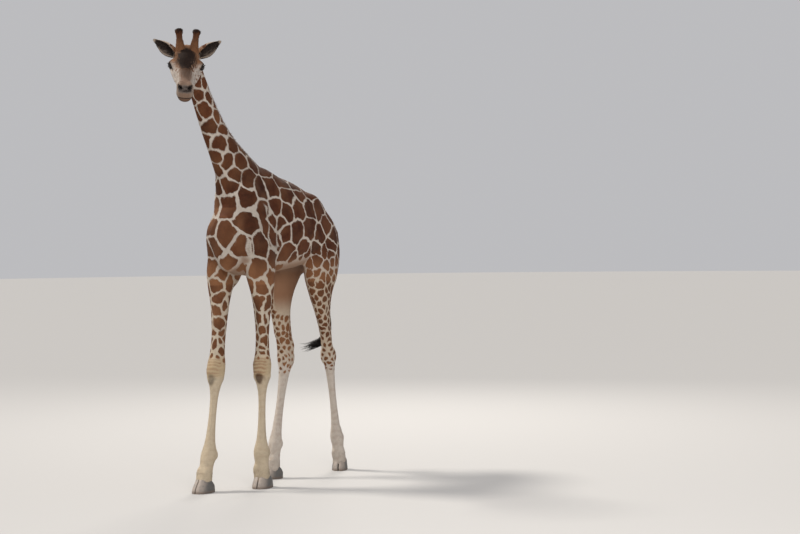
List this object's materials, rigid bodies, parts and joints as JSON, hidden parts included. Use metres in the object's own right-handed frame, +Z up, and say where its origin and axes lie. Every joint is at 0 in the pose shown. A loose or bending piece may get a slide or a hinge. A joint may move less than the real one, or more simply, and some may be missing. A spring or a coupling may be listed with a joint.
{
  "type": "reticulated giraffe model",
  "caption": "Life-size still museum model of a young reticulated giraffe, standing in mid step with its head turned to its left.",
  "frame": {"origin": "on the floor, under the middle of the animal's bounding box", "axes": "+Z up, the animal faces -Y, its own left side is +X"},
  "size_m": [0.509, 2.3172, 3.6471],
  "materials": {
    "coat": "short dense hair with a net of pale lines round brown patches",
    "mane_hair": "short stiff upright hair",
    "dark_hair": "long coarse black hair",
    "hoof_horn": "grey horn, worn and dusty",
    "eye": "wet dark eye"
  },
  "bodies": {
    "root": {"head": "coat", "neck": "coat", "trunk": "coat", "tail": "coat", "foreleg_upper_left": "coat", "foreleg_lower_left": "coat", "hindleg_upper_left": "coat", "hindleg_lower_left": "coat", "ear_left": "coat", "horn_left": "coat", "eye_left": "eye", "hoof_fore_left_a": "hoof_horn", "hoof_fore_left_b": "hoof_horn", "hoof_hind_left_a": "hoof_horn", "hoof_hind_left_b": "hoof_horn", "foreleg_upper_right": "coat", "foreleg_lower_right": "coat", "hindleg_upper_right": "coat", "hindleg_lower_right": "coat", "ear_right": "coat", "horn_right": "coat", "eye_right": "eye", "hoof_fore_right_a": "hoof_horn", "hoof_fore_right_b": "hoof_horn", "hoof_hind_right_a": "hoof_horn", "hoof_hind_right_b": "hoof_horn", "mane": "mane_hair", "tail_tuft": "dark_hair"}
  },
  "joints": []
}
